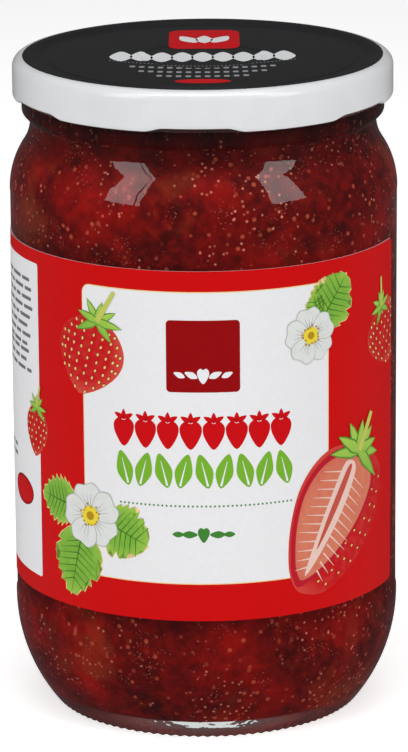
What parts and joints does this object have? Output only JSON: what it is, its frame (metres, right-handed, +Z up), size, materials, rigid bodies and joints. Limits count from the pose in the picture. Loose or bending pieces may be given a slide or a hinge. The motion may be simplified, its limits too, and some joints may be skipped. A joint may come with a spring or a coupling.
{
  "type": "jam jar",
  "caption": "Tall round glass jar of strawberry jam with a white twist-off lid, black on top, and a red paper label with a white panel, fruit and blossom.",
  "frame": {"origin": "on the jar's axis, on the surface that it stands on", "axes": "+Z up along the jar's axis, the middle of the label's front towards -Y, +X to the right of the front"},
  "size_m": [0.0874, 0.0874, 0.1495],
  "materials": {
    "glass": "clear, glossy",
    "jam": "dark red strawberry jam with seeds and small bubbles",
    "lid_enamel": "white gloss enamel on the skirt, satin black on top",
    "label_paper": "coated paper, printed red and white, low sheen"
  },
  "bodies": {
    "root": {"glass_jar": "glass", "jam": "jam", "lid": "lid_enamel", "label": "label_paper"}
  },
  "joints": []
}
